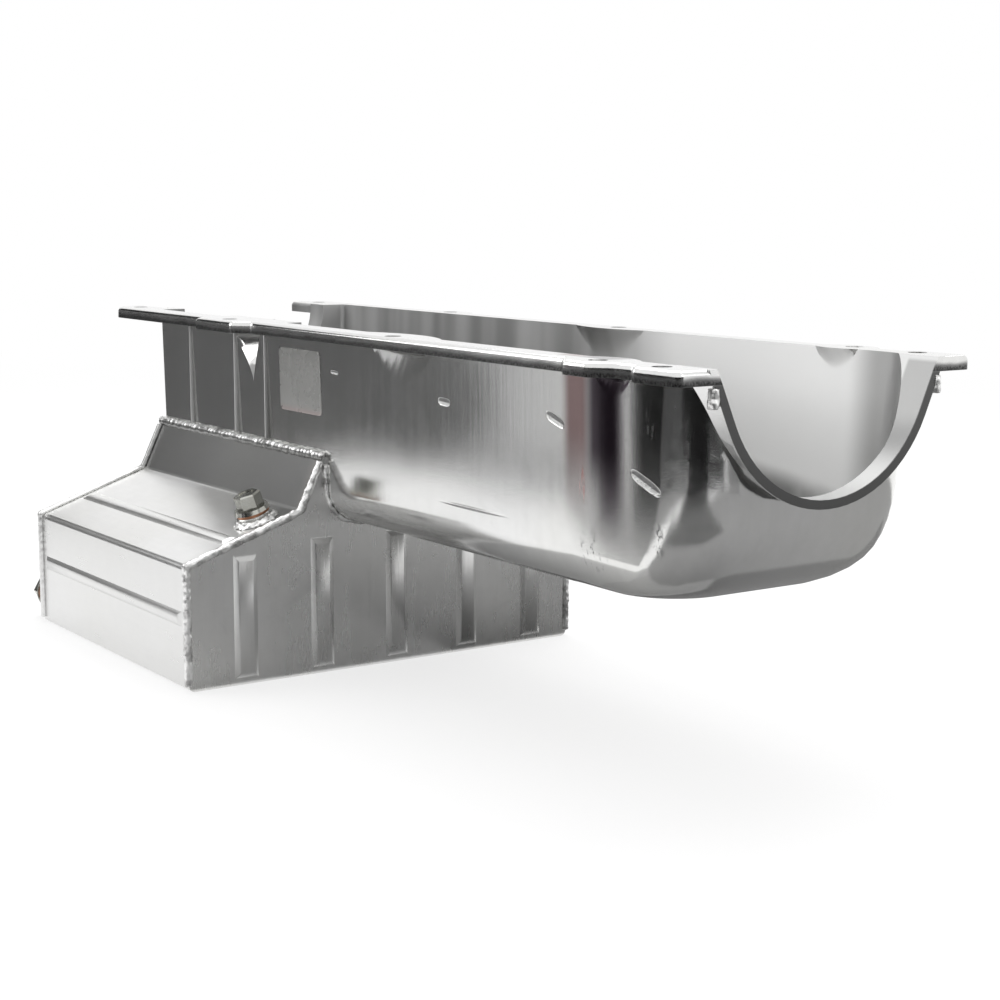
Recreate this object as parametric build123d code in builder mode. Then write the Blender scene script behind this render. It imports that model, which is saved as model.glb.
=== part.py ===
from build123d import *
import os
from math import cos, radians, sin, sqrt, tan

os.makedirs("parts", exist_ok=True)

# Frame: X points to the front of the engine, Y to its far side, Z up.
# The origin is the centre of the four outer side bolts on the gasket face.

# Sheet
T = 1.6                      # drawn body and rail sheet
TS = 1.6                     # fabricated sump sheet

# Drawn body, outside surfaces
BODY_DEPTH = 107.0           # gasket face to the underside of the floor
BODY_HALF_Y = 66.5           # half width at the rail
BODY_DRAFT = 2.5             # how far each side leans in over the depth
BODY_FRONT_X = 228.0         # front wall
BODY_REAR_X = -290.0         # rear wall
BODY_BOTTOM_R = 20.0         # side wall to floor
BODY_NOSE_R = 50.0           # front wall to floor
BODY_FRONT_CORNER_R = 23.0   # plan corner at the front
BODY_CORNER_GROW = 6.0       # how much the front corner opens towards the floor
BODY_REAR_CORNER_R = 4.0     # plan corner at the rear
BODY_REAR_BOTTOM_R = 4.0

# Rail
RAIL_HALF_Y = 78.5           # outer edge of the straight rail
RAIL_FRONT_X = 236.0         # front rim of the pan
RAIL_REAR_X = -343.0         # rear rim of the pan
RAIL_REAR_CORNER = 20.0
RAIL_LIP = 6.5               # rolled edge, top to bottom
RAIL_EDGE_R = 2.6            # bend radius of the rolled edge

# Rail lobes: centre X and half length
LOBE_REACH = 8.0
LOBE_SLOPE = 12.0
NEAR_LOBES = ((-173.5, 22.0), (171.0, 8.0))
FAR_LOBES = ((-173.5, 10.0), (171.0, 8.0))
TAB_REACH = 6.0              # front corner tabs
TAB_START_X = 208.0

# Bolt holes
HOLE_R = 4.3
SIDE_BOLT_X = 173.5
SIDE_BOLT_Y = 75.5
MIDDLE_BOLT_Y = 71.5
FRONT_BOLT_X = 214.0
FRONT_BOLT_Y = 74.0
REAR_BOLT_X = -322.0
REAR_BOLT_Y = 65.0

# Seal arcs
FRONT_ARC_R = 58.0
FRONT_ARC_FLARE = 24.0       # degrees off vertical where the straight flanks start
REAR_ARC_R = 50.0
REAR_ARC_X = -306.0          # rear rim of the arc, between the rail's rear ears
EAR_R = 3.5                  # inner corner of an ear
ARC_LIP = 4.0                # upset rim round each arc

# Sump
SUMP_BOTTOM_Z = -190.0
SUMP_FRONT_X = -82.0
SUMP_REAR_X = BODY_REAR_X
SUMP_NEAR_Y = -148.0
SUMP_FAR_Y = 98.5
SUMP_SIDE_TOP_Z = -122.8
SUMP_BEND_Y = -80.0
SUMP_BEND_Z = -99.0
NEAR_WELD_Z = -70.4
FAR_WELD_Z = -88.0
SUMP_BEND_R = 3.5
LAP_BEHIND = 2.0             # body wall left behind the sump's top edge

# Stiffening beads
RIB_Y = (-114.2, -67.5, -20.0, 27.0, 72.0)
RIB_W = 14.0
RIB_H = 2.2
SIDE_BEAD_UP = 38.2          # above the sump's bottom
SIDE_BEAD_W = 8.0
SIDE_BEAD_H = 1.6
SLOPE_BEAD_AT = 0.42         # share of the slope, from its outer edge
SLOPE_BEAD_W = 9.0
SLOPE_BEAD_H = 1.5
BEAD_END_SLOPE = 2.5         # run over rise at each end of a bead

# Wall reliefs under the rail: position, radius
POCKETS = ((0.0, 75.0), (172.0, 28.0))
POCKET_DEPTH = 4.5
FAR_POCKET_DEPTH = 2.0
POCKET_TILT = 19.0
NOTCH_LEFT_X = -207.0
NOTCH_RIGHT_X = -148.0
NOTCH_TIP_X = -164.0
NOTCH_TIP_Z = -35.0
NOTCH_DEEP = 11.0
RIDGE_X = (-246.0, -186.0, -148.0)
RIDGE_R = 1.5
RIDGE_SUNK = 0.6             # ridge centre inside the wall
RIDGE_TOP_Z = -5.0
RIDGE_CLEAR = 0.6            # ridge end above the weld

# Plugs
LEVEL_X = -102.0
LEVEL_ALONG = 0.745          # share of the slope, from its outer edge
DRAIN_IN = 11.0              # from the sump's near side
DRAIN_UP = 16.0              # above the sump's bottom
BUNG_INSIDE = 5.0
BORE_R = 6.2
WASHER_H = 1.6
WASHER_PLAY = 0.1
FLANGE_H = 2.2
HEAD_H = 8.0
THREAD_GAP = 0.15
LEVEL_BUNG_R = 9.6
LEVEL_BUNG_H = 4.5
LEVEL_WASHER_R = 9.2
LEVEL_FLANGE_R = 10.0
LEVEL_HEX = 13.0
LEVEL_SHANK_L = 14.0
DRAIN_BUNG_R = 8.6
DRAIN_BUNG_H = 9.0
DRAIN_WASHER_R = 9.8
DRAIN_FLANGE_R = 11.2
DRAIN_HEX = 17.0
DRAIN_SHANK_L = 18.0

# Weld beads
LEVEL_WELD_R = 13.2
DRAIN_WELD_R = 10.4
BUNG_WELD_H = 3.2
BUNG_WELD_TOP = 0.6          # width left at the top of a bung's weld
WALL_WELD_R = 3.2
EDGE_WELD_R = 2.3
WELD_OVER_END = 1.0
LAP_WELD_OUT = 0.6           # bead centre outside the body's wall
EDGE_WELD_IN = 0.7           # bead centre inside the front plate's face
FRONT_SEAM_OUT = 0.4         # bead centre outside the front plate's face
REAR_SEAM_OUT = 0.2
EDGE_START = 0.08            # share of the riser left clear above an edge bead
DAB_R = 2.6
DAB_L = 8.0
DAB_DROP = 1.5               # top of a dab under the rolled edge


# Plan outline of the body at one height, for the outside or the inside surface
def body_section(z, inset):
    depth = BODY_DEPTH - inset
    lean = BODY_DRAFT * min(-z, BODY_DEPTH) / BODY_DEPTH
    half = BODY_HALF_Y - inset - lean
    front = BODY_FRONT_X - inset - 0.6 * lean
    rear = BODY_REAR_X + inset
    side_r = BODY_BOTTOM_R - inset
    nose_r = BODY_NOSE_R - inset
    tail_r = BODY_REAR_BOTTOM_R - inset
    side_in = depth - side_r + z
    nose_in = depth - nose_r + z
    tail_in = depth - tail_r + z
    if side_in < 0:
        half = half - side_r + sqrt(max(side_r**2 - side_in**2, 0.0))
    if nose_in < 0:
        front = front - nose_r + sqrt(max(nose_r**2 - nose_in**2, 0.0))
    if tail_in < 0:
        rear = rear + tail_r - sqrt(max(tail_r**2 - tail_in**2, 0.0))
    grow = min(max(-z, 0.0), depth) / depth
    front_r = BODY_FRONT_CORNER_R - inset + BODY_CORNER_GROW * grow
    rear_r = BODY_REAR_CORNER_R - inset
    return front, rear, half, front_r, rear_r


def body_heights(inset):
    depth = BODY_DEPTH - inset
    nose_r = BODY_NOSE_R - inset
    side_r = BODY_BOTTOM_R - inset
    steps = [0.0, nose_r - depth]
    steps = steps + [nose_r * (1 - sin(radians(a))) - depth for a in (10, 19, 28)]
    steps = steps + [side_r * (1 - sin(radians(a))) - depth for a in (0, 15, 30, 45, 60, 75)]
    return steps + [-depth]


# The same plan outline drawn as a sketch, with its front and rear corners rounded
def body_plan(z, inset, top=0.0):
    front, rear, half, front_r, rear_r = body_section(z, inset)
    with BuildSketch(Plane.XY.offset(z + top)) as plan:
        with Locations(((front + rear) / 2, 0)):
            Rectangle(front - rear, 2 * half)
        fillet(plan.vertices().group_by(Axis.X)[-1], front_r)
        fillet(plan.vertices().group_by(Axis.X)[0], rear_r)
    return plan.sketch


# Half width of the body's outside at one height
def wall_y(z):
    return body_section(z, 0.0)[2]


# Area above a seal arc, seen along X
def arc_area(r, flare, x, top):
    side = r * cos(radians(flare))
    low = -r * sin(radians(flare))
    high = side + (top - low) * tan(radians(flare))
    with BuildSketch(Plane.YZ.offset(x)) as area:
        Circle(r)
        with Locations((0, -r)):
            Rectangle(4 * r, 4 * r, align=(Align.CENTER, Align.MAX), mode=Mode.SUBTRACT)
        with Locations((0, top)):
            Rectangle(4 * r, 4 * r, align=(Align.CENTER, Align.MIN), mode=Mode.SUBTRACT)
        Polygon((-side, low), (side, low), (high, top), (-high, top), align=None)
    return area.sketch


# A pressed bead with sloping ends: a round crown cut to a long wedge
def bead_form(place, length, width, height, shrink, low):
    r = (width**2 / 4 + height**2) / (2 * height)
    half = length / 2 - shrink
    top = half - BEAD_END_SLOPE * (height + low)
    with BuildPart() as form:
        with Locations((0, 0, height - r)):
            Cylinder(r - shrink, length, rotation=(0, 90, 0))
        with BuildSketch(Plane.XZ):
            Polygon((-half, -low), (half, -low), (top, height), (-top, height), align=None)
        extrude(amount=2 * r, both=True, mode=Mode.INTERSECT)
    return place.location * form.part


def bead_skin(place, length, width, height, sheet):
    return bead_form(place, length, width, height, 0.0, sheet / 2)


def bead_hollow(place, length, width, height, sheet):
    return bead_form(place, length, width, height, sheet, 2 * sheet)


# A round bead laid along a line of points
def seam(points, r):
    with BuildPart() as bead:
        with BuildLine() as path:
            Polyline(*points)
        with BuildSketch(Plane(origin=path.line @ 0, z_dir=path.line % 0)):
            Circle(r)
        sweep(path=path.line, transition=Transition.ROUND)
    return bead.part


def largest(shape):
    return shape.solids().sort_by(SortBy.VOLUME)[-1]


# A shallow hollow pressed into a side wall under the rail
def pocket(x, r, side, grow):
    lean = POCKET_TILT * side
    depth = POCKET_DEPTH if side < 0 else FAR_POCKET_DEPTH
    y = side * (BODY_HALF_Y + r - depth)
    with BuildPart() as cutter:
        with Locations(Location((x, y, 0), (lean, 0, 0))):
            Cylinder(r + grow, 120.0)
    return cutter.part


# The three-cornered relief in the near wall
def notch(grow):
    wall = -BODY_HALF_Y - 3.0
    deep = NOTCH_DEEP - BODY_HALF_Y + 1.3 * grow
    tip = NOTCH_TIP_Z - 2.0 * grow
    tip_y = 0.6 + grow - wall_y(NOTCH_TIP_Z)
    foot = 1.0 + grow
    left = NOTCH_LEFT_X - 2 * grow
    right = NOTCH_RIGHT_X + 2 * grow
    with BuildPart() as cutter:
        with BuildSketch(Plane.XY.offset(tip)):
            Polygon((NOTCH_TIP_X - foot, wall), (NOTCH_TIP_X + foot, wall), (NOTCH_TIP_X, tip_y), align=None)
        with BuildSketch(Plane.XY):
            Polygon((left, wall), (right, wall), (NOTCH_TIP_X + 4, deep), align=None)
        loft(ruled=True)
    return cutter.part


# Outside of the drawn body as a solid block
with BuildPart() as body_block:
    for z in body_heights(0.0):
        add(body_plan(z, 0.0))
    loft(ruled=True)
    for x, r in POCKETS:
        add(pocket(x, r, -1, 0.0), mode=Mode.SUBTRACT)
        add(pocket(x, r, 1, 0.0), mode=Mode.SUBTRACT)
    add(notch(0.0), mode=Mode.SUBTRACT)
    ridge_l = RIDGE_TOP_Z - NEAR_WELD_Z - WALL_WELD_R - RIDGE_CLEAR
    with Locations(*[(x, RIDGE_SUNK - BODY_HALF_Y, RIDGE_TOP_Z) for x in RIDGE_X]):
        Cylinder(RIDGE_R, ridge_l, align=(Align.CENTER, Align.CENTER, Align.MAX))

# The space inside it
with BuildPart() as body_space:
    for z in body_heights(T):
        add(body_plan(z, T))
    loft(ruled=True)
    extrude(body_plan(0.0, T), amount=2.0, dir=(0, 0, 1))
    for x, r in POCKETS:
        add(pocket(x, r, -1, T), mode=Mode.SUBTRACT)
        add(pocket(x, r, 1, T), mode=Mode.SUBTRACT)
    add(notch(T), mode=Mode.SUBTRACT)
    with Locations((NOTCH_TIP_X, -BODY_HALF_Y, 0)):
        Box(NOTCH_RIGHT_X - NOTCH_LEFT_X + 20, 2 * NOTCH_DEEP, 6.0, mode=Mode.SUBTRACT)

# Rail outline with its lobes and corner tabs
with BuildSketch() as rail_outline:
    with Locations(((RAIL_FRONT_X + RAIL_REAR_X) / 2, 0)):
        Rectangle(RAIL_FRONT_X - RAIL_REAR_X, 2 * RAIL_HALF_Y)
    fillet(rail_outline.vertices().group_by(Axis.X)[0], RAIL_REAR_CORNER)
    with Locations((REAR_ARC_X, 0)):
        gap_y = 2 * (REAR_ARC_R + ARC_LIP)
        Rectangle(RAIL_HALF_Y * 4, gap_y, align=(Align.MAX, Align.CENTER), mode=Mode.SUBTRACT)
    ear_points = rail_outline.vertices().group_by(Axis.X)[0]
    fillet(ear_points.filter_by(lambda v: abs(v.Y) < gap_y / 2 + 1.0), EAR_R)
    for side, lobes in ((-1, NEAR_LOBES), (1, FAR_LOBES)):
        for x, half in lobes:
            foot = side * (RAIL_HALF_Y - 1.0)
            crown = side * (RAIL_HALF_Y + LOBE_REACH)
            wide = half + LOBE_SLOPE
            Polygon((x - wide, foot), (x + wide, foot), (x + half, crown), (x - half, crown), align=None)
        edge = side * (RAIL_HALF_Y + TAB_REACH)
        inner = side * (RAIL_HALF_Y - 1.0)
        far = RAIL_FRONT_X
        Polygon((TAB_START_X - 9, inner), (far, inner), (far, edge), (TAB_START_X, edge), align=None)
    outer_points = rail_outline.vertices().filter_by(lambda v: abs(v.Y) > RAIL_HALF_Y - 0.5)
    round_points = outer_points.filter_by(lambda v: v.X > RAIL_REAR_X + RAIL_REAR_CORNER + 1.0)
    fillet(round_points, 3.5)

# Rail sheet with its rolled edge
with BuildPart() as rail_sheet:
    extrude(rail_outline.sketch, amount=-RAIL_LIP)
    fillet(rail_sheet.faces().sort_by(Axis.Z)[-1].edges(), RAIL_EDGE_R)
with BuildPart() as rail_under:
    with BuildSketch(Plane.XY.offset(-T)):
        add(offset(rail_outline.sketch, amount=-T))
    extrude(amount=-RAIL_LIP)
    chamfer(rail_under.faces().sort_by(Axis.Z)[-1].edges(), RAIL_EDGE_R - T)

# Tops of the sump's sheet against the body's side walls
near_lap = (-wall_y(NEAR_WELD_Z) - TS, NEAR_WELD_Z)
far_lap = (wall_y(FAR_WELD_Z) + TS, FAR_WELD_Z)

# One drawn pan body: walls, floor, rail and both seal arcs
with BuildPart() as pan_body:
    add(rail_sheet.part)
    add(rail_under.part, mode=Mode.SUBTRACT)
    add(body_block.part)
    extrude(arc_area(FRONT_ARC_R + T, FRONT_ARC_FLARE, RAIL_FRONT_X, 0.0), amount=-36.0)
    extrude(arc_area(FRONT_ARC_R + ARC_LIP, FRONT_ARC_FLARE, RAIL_FRONT_X, 0.0), amount=-T)
    extrude(arc_area(REAR_ARC_R + T, 0.0, REAR_ARC_X, 0.0), amount=BODY_REAR_X - REAR_ARC_X + 5)
    extrude(arc_area(REAR_ARC_R + ARC_LIP, 0.0, REAR_ARC_X, 0.0), amount=T)
    add(body_space.part, mode=Mode.SUBTRACT)
    extrude(arc_area(FRONT_ARC_R, FRONT_ARC_FLARE, RAIL_FRONT_X + 2, 3.0), amount=-44.0, mode=Mode.SUBTRACT)
    back = BODY_REAR_X - REAR_ARC_X + 10
    extrude(arc_area(REAR_ARC_R, 0.0, REAR_ARC_X - 2, 3.0), amount=back, mode=Mode.SUBTRACT)
    near_cut = NEAR_WELD_Z - LAP_BEHIND
    far_cut = FAR_WELD_Z - LAP_BEHIND
    cut_y = RAIL_HALF_Y + 12.0
    cut_z = -BODY_DEPTH - 10.0
    with BuildSketch(Plane.YZ.offset(SUMP_FRONT_X - TS)):
        step_line = ((-cut_y, near_cut), (0, near_cut), (0, far_cut), (cut_y, far_cut))
        Polygon(*step_line, (cut_y, cut_z), (-cut_y, cut_z), align=None)
    extrude(amount=SUMP_REAR_X + TS - SUMP_FRONT_X + TS, mode=Mode.SUBTRACT)
    with BuildSketch(Plane.YZ.offset(SUMP_REAR_X + TS)):
        top_line = ((-cut_y, NEAR_WELD_Z), near_lap, far_lap, (cut_y, FAR_WELD_Z))
        Polygon(*top_line, (cut_y, cut_z), (-cut_y, cut_z), align=None)
    extrude(amount=-2 * TS, mode=Mode.SUBTRACT)
    with GridLocations(2 * SIDE_BOLT_X, 2 * SIDE_BOLT_Y, 2, 2):
        Cylinder(HOLE_R, 3 * T, mode=Mode.SUBTRACT)
    with GridLocations(0, 2 * MIDDLE_BOLT_Y, 1, 2):
        Cylinder(HOLE_R, 3 * T, mode=Mode.SUBTRACT)
    with Locations(*[(FRONT_BOLT_X, y, 0) for y in (-FRONT_BOLT_Y, FRONT_BOLT_Y)]):
        Cylinder(HOLE_R, 3 * T, mode=Mode.SUBTRACT)
    with Locations(*[(REAR_BOLT_X, y, 0) for y in (-REAR_BOLT_Y, REAR_BOLT_Y)]):
        Cylinder(HOLE_R, 3 * T, mode=Mode.SUBTRACT)
pan_body.part.label = "pan_body"
export_step(pan_body.part, "parts/pan_body.step")

# Section of the sump's folded sheet, near riser to far lap, as outside points
sump_points = (
    near_lap,
    (SUMP_BEND_Y, SUMP_BEND_Z),
    (SUMP_NEAR_Y, SUMP_SIDE_TOP_Z),
    (SUMP_NEAR_Y, SUMP_BOTTOM_Z),
    (SUMP_FAR_Y, SUMP_BOTTOM_Z),
    (SUMP_FAR_Y, SUMP_SIDE_TOP_Z),
    far_lap,
)
sheet_length = SUMP_FRONT_X - SUMP_REAR_X - 2 * TS
sump_mid_x = (SUMP_FRONT_X + SUMP_REAR_X) / 2
slope_dy = SUMP_BEND_Y - SUMP_NEAR_Y
slope_dz = SUMP_BEND_Z - SUMP_SIDE_TOP_Z
slope_out = (0, -slope_dz, slope_dy)


def on_slope(x, share):
    return (x, SUMP_NEAR_Y + share * slope_dy, SUMP_SIDE_TOP_Z + share * slope_dz)


side_bead_z = SUMP_BOTTOM_Z + SIDE_BEAD_UP
drain_y = SUMP_NEAR_Y + DRAIN_IN
drain_z = SUMP_BOTTOM_Z + DRAIN_UP
side_bead_place = Plane((sump_mid_x, SUMP_NEAR_Y, side_bead_z), x_dir=(1, 0, 0), z_dir=(0, -1, 0))
slope_bead_place = Plane(on_slope(sump_mid_x, SLOPE_BEAD_AT), x_dir=(1, 0, 0), z_dir=slope_out)
level_place = Plane(on_slope(LEVEL_X, LEVEL_ALONG), x_dir=(1, 0, 0), z_dir=slope_out)
drain_place = Plane((SUMP_REAR_X, drain_y, drain_z), x_dir=(0, 1, 0), z_dir=(-1, 0, 0))

# Folded sheet: near riser, sloped top, near side, bottom, far side, far slope
with BuildPart() as sump_sheet:
    with BuildSketch(Plane.YZ.offset(SUMP_REAR_X + TS)):
        with BuildLine():
            run = FilletPolyline(*sump_points, radius=SUMP_BEND_R)
            offset(run, amount=TS, side=Side.RIGHT)
        make_face()
    extrude(amount=sheet_length)
    bead_l = sheet_length - 8.0
    add(bead_skin(side_bead_place, bead_l, SIDE_BEAD_W, SIDE_BEAD_H, TS))
    add(bead_hollow(side_bead_place, bead_l, SIDE_BEAD_W, SIDE_BEAD_H, TS), mode=Mode.SUBTRACT)
    add(bead_skin(slope_bead_place, bead_l, SLOPE_BEAD_W, SLOPE_BEAD_H, TS))
    add(bead_hollow(slope_bead_place, bead_l, SLOPE_BEAD_W, SLOPE_BEAD_H, TS), mode=Mode.SUBTRACT)
    with Locations(level_place):
        Cylinder(LEVEL_BUNG_R, 6 * TS, mode=Mode.SUBTRACT)
sump_sheet.part.label = "sump_sheet"
export_step(sump_sheet.part, "parts/sump_sheet.step")

# Front plate with its pressed ribs, shaped to the underside of the body
with BuildPart() as sump_front_plate:
    with BuildSketch(Plane.YZ.offset(SUMP_FRONT_X)):
        with BuildLine():
            FilletPolyline(*sump_points, radius=SUMP_BEND_R)
            Line(far_lap, near_lap)
        make_face()
    extrude(amount=-TS)
    for y in RIB_Y:
        edge_z = SUMP_SIDE_TOP_Z + (y - SUMP_NEAR_Y) * slope_dz / slope_dy
        top_z = min(edge_z - 6.0, -BODY_DEPTH - 5.0)
        low_z = SUMP_BOTTOM_Z + 1.0
        rib_place = Plane((SUMP_FRONT_X, y, (top_z + low_z) / 2), x_dir=(0, 0, 1), z_dir=(1, 0, 0))
        add(bead_skin(rib_place, top_z - low_z, RIB_W, RIB_H, TS))
        add(bead_hollow(rib_place, top_z - low_z, RIB_W, RIB_H, TS), mode=Mode.SUBTRACT)
    add(body_block.part, mode=Mode.SUBTRACT)
sump_front_plate.part.label = "sump_front_plate"
export_step(sump_front_plate.part, "parts/sump_front_plate.step")

# Rear plate
with BuildPart() as sump_rear_plate:
    with BuildSketch(Plane.YZ.offset(SUMP_REAR_X)):
        with BuildLine():
            FilletPolyline(*sump_points, radius=SUMP_BEND_R)
            Line(far_lap, near_lap)
        make_face()
    extrude(amount=TS)
    with Locations(drain_place):
        Cylinder(DRAIN_BUNG_R, 6 * TS, mode=Mode.SUBTRACT)
sump_rear_plate.part.label = "sump_rear_plate"
export_step(sump_rear_plate.part, "parts/sump_rear_plate.step")

# A bead in the corner between the body's wall and the top edge of the sump's sheet
def lap_bead(z, side):
    skin = [(side * wall_y(h), h) for h in body_heights(0.0)]
    with BuildPart() as bead:
        with BuildSketch(Plane.YZ.offset(SUMP_REAR_X - WELD_OVER_END)):
            with Locations((side * (wall_y(z) + LAP_WELD_OUT), z)):
                Circle(WALL_WELD_R)
            Polygon((0, 0), *skin, (0, -BODY_DEPTH), align=None, mode=Mode.SUBTRACT)
            with BuildLine():
                FilletPolyline(*sump_points, radius=SUMP_BEND_R)
                Line(far_lap, near_lap)
            make_face(mode=Mode.SUBTRACT)
        extrude(amount=SUMP_FRONT_X - SUMP_REAR_X + 2 * WELD_OVER_END)
    return bead.part


# Weld beads
with BuildPart() as weld_near_lap:
    add(lap_bead(NEAR_WELD_Z, -1))
weld_near_lap.part.label = "weld_near_lap"
export_step(weld_near_lap.part, "parts/weld_near_lap.step")

with BuildPart() as weld_far_lap:
    add(lap_bead(FAR_WELD_Z, 1))
weld_far_lap.part.label = "weld_far_lap"
export_step(weld_far_lap.part, "parts/weld_far_lap.step")

edge_start_y = near_lap[0] + EDGE_START * (SUMP_BEND_Y - near_lap[0])
edge_start_z = near_lap[1] + EDGE_START * (SUMP_BEND_Z - near_lap[1])
near_edge = ((edge_start_y, edge_start_z), (SUMP_BEND_Y, SUMP_BEND_Z), (SUMP_NEAR_Y, SUMP_SIDE_TOP_Z))
far_edge = (far_lap, (SUMP_FAR_Y, SUMP_SIDE_TOP_Z))
foot_z = SUMP_BOTTOM_Z + EDGE_WELD_R + 1.0
near_foot = (SUMP_NEAR_Y, foot_z)
far_foot = (SUMP_FAR_Y, foot_z)
front_seam_x = SUMP_FRONT_X - EDGE_WELD_IN
sheets = (pan_body, sump_sheet, sump_front_plate, sump_rear_plate, weld_near_lap, weld_far_lap)

with BuildPart() as weld_front_near_edge:
    bead = seam([(front_seam_x, y, z) for y, z in near_edge + (near_foot,)], EDGE_WELD_R)
    for piece in sheets:
        bead = bead - piece.part
    add(largest(bead))
weld_front_near_edge.part.label = "weld_front_near_edge"
export_step(weld_front_near_edge.part, "parts/weld_front_near_edge.step")

with BuildPart() as weld_front_far_edge:
    bead = seam([(front_seam_x, y, z) for y, z in far_edge + (far_foot,)], EDGE_WELD_R)
    for piece in sheets:
        bead = bead - piece.part
    add(largest(bead))
weld_front_far_edge.part.label = "weld_front_far_edge"
export_step(weld_front_far_edge.part, "parts/weld_front_far_edge.step")

with BuildPart() as weld_rear_near_edge:
    add(mirror(weld_front_near_edge.part, about=Plane.YZ.offset(sump_mid_x)))
weld_rear_near_edge.part.label = "weld_rear_near_edge"
export_step(weld_rear_near_edge.part, "parts/weld_rear_near_edge.step")

with BuildPart() as weld_rear_far_edge:
    add(mirror(weld_front_far_edge.part, about=Plane.YZ.offset(sump_mid_x)))
weld_rear_far_edge.part.label = "weld_rear_far_edge"
export_step(weld_rear_far_edge.part, "parts/weld_rear_far_edge.step")

# Seam where the front plate meets the underside of the body
under_top = NEAR_WELD_Z - WALL_WELD_R - 0.8
under_half = [(-wall_y(z), z) for z in body_heights(0.0)[-1:3:-2] if z < under_top - 2.0][::-1]
under_line = [(-wall_y(under_top), under_top)] + under_half
far_under = [(-y, z) for y, z in reversed(under_half) if z < FAR_WELD_Z - WALL_WELD_R]
with BuildPart() as weld_front_body:
    bead = seam([(SUMP_FRONT_X + FRONT_SEAM_OUT, y, z) for y, z in under_line + far_under], EDGE_WELD_R)
    for piece in sheets + (weld_front_near_edge, weld_front_far_edge):
        bead = bead - piece.part
    add(largest(bead - body_space.part))
weld_front_body.part.label = "weld_front_body"
export_step(weld_front_body.part, "parts/weld_front_body.step")

# Seam across the back, where the rear plate meets the rear wall
rear_seam_x = SUMP_REAR_X + REAR_SEAM_OUT
with BuildPart() as weld_rear_body:
    bead = seam([(rear_seam_x, y, z) for y, z in (near_lap, far_lap)], EDGE_WELD_R)
    for piece in sheets + (weld_rear_near_edge, weld_rear_far_edge):
        bead = bead - piece.part
    add(largest(bead - body_space.part))
weld_rear_body.part.label = "weld_rear_body"
export_step(weld_rear_body.part, "parts/weld_rear_body.step")

# Weld dabs where the rolled edge is closed at each end of the front arc
flank = tan(radians(FRONT_ARC_FLARE))
dab_z = -RAIL_LIP - DAB_DROP
dab_y = FRONT_ARC_R * cos(radians(FRONT_ARC_FLARE)) + ARC_LIP
dab_y = dab_y + (FRONT_ARC_R * sin(radians(FRONT_ARC_FLARE)) + dab_z) * flank
with BuildPart() as arc_end_dabs:
    with Locations((RAIL_FRONT_X - T, -dab_y, dab_z), (RAIL_FRONT_X - T, dab_y, dab_z)):
        Cylinder(DAB_R, DAB_L, align=(Align.CENTER, Align.CENTER, Align.MAX))
    add(pan_body.part, mode=Mode.SUBTRACT)
    add(body_space.part, mode=Mode.SUBTRACT)
    arc_block = arc_area(FRONT_ARC_R + T, FRONT_ARC_FLARE, RAIL_FRONT_X + 6, 3.0)
    extrude(arc_block, amount=-44.0, mode=Mode.SUBTRACT)
arc_end_dabs.part.label = "arc_end_dabs"
export_step(arc_end_dabs.part, "parts/arc_end_dabs.step")


# A threaded bung let into a sheet
def bung(place, r, h):
    up = Axis(place.origin, place.z_dir)
    with BuildPart(place) as body:
        Cylinder(r, TS + BUNG_INSIDE, align=(Align.CENTER, Align.CENTER, Align.MAX))
        Cylinder(r, h, align=(Align.CENTER, Align.CENTER, Align.MIN))
        Cylinder(BORE_R, 60.0, mode=Mode.SUBTRACT)
        chamfer(body.edges().filter_by(GeomType.CIRCLE).group_by(up)[-1], 0.6)
    return body.part


# Weld laid round a bung, sloping from the bung down to the sheet
def bung_weld(place, bung_r, r):
    with BuildPart(place) as ring:
        Cone(r, bung_r + BUNG_WELD_TOP, BUNG_WELD_H, align=(Align.CENTER, Align.CENTER, Align.MIN))
        Cylinder(bung_r, 60.0, mode=Mode.SUBTRACT)
    return ring.part


# A sealing washer seated on a bung
def washer(place, bung_h, r):
    with BuildPart(place.offset(bung_h)) as ring:
        Cylinder(r, WASHER_H, align=(Align.CENTER, Align.CENTER, Align.MIN))
        Cylinder(BORE_R + WASHER_PLAY, 60.0, mode=Mode.SUBTRACT)
    return ring.part


# A flanged hex plug seated on its washer
def plug(place, bung_h, flange_r, hexagon, shank_l):
    seat = place.offset(bung_h + WASHER_H)
    up = Axis(place.origin, place.z_dir)
    with BuildPart() as body:
        with BuildSketch(seat.offset(FLANGE_H - 0.2)):
            RegularPolygon(hexagon / 2, 6, major_radius=False)
        extrude(amount=HEAD_H + 0.2)
        chamfer(body.faces().sort_by(up)[-1].edges(), 0.8)
        with BuildSketch(seat.offset(FLANGE_H + HEAD_H - 0.5)):
            Circle(hexagon * 0.32)
        extrude(amount=2.0, mode=Mode.SUBTRACT)
        with BuildSketch(seat):
            Circle(flange_r)
        extrude(amount=FLANGE_H, taper=20)
        with BuildSketch(seat):
            Circle(BORE_R - THREAD_GAP)
        extrude(amount=-shank_l)
    return body.part


# Oil level plug, its washer, bung and weld
with BuildPart() as level_bung:
    add(bung(level_place, LEVEL_BUNG_R, LEVEL_BUNG_H))
level_bung.part.label = "level_bung"
export_step(level_bung.part, "parts/level_bung.step")

with BuildPart() as level_bung_weld:
    add(bung_weld(level_place, LEVEL_BUNG_R, LEVEL_WELD_R))
    add(sump_sheet.part, mode=Mode.SUBTRACT)
level_bung_weld.part.label = "level_bung_weld"
export_step(level_bung_weld.part, "parts/level_bung_weld.step")

with BuildPart() as level_washer:
    add(washer(level_place, LEVEL_BUNG_H, LEVEL_WASHER_R))
level_washer.part.label = "level_washer"
export_step(level_washer.part, "parts/level_washer.step")

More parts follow.
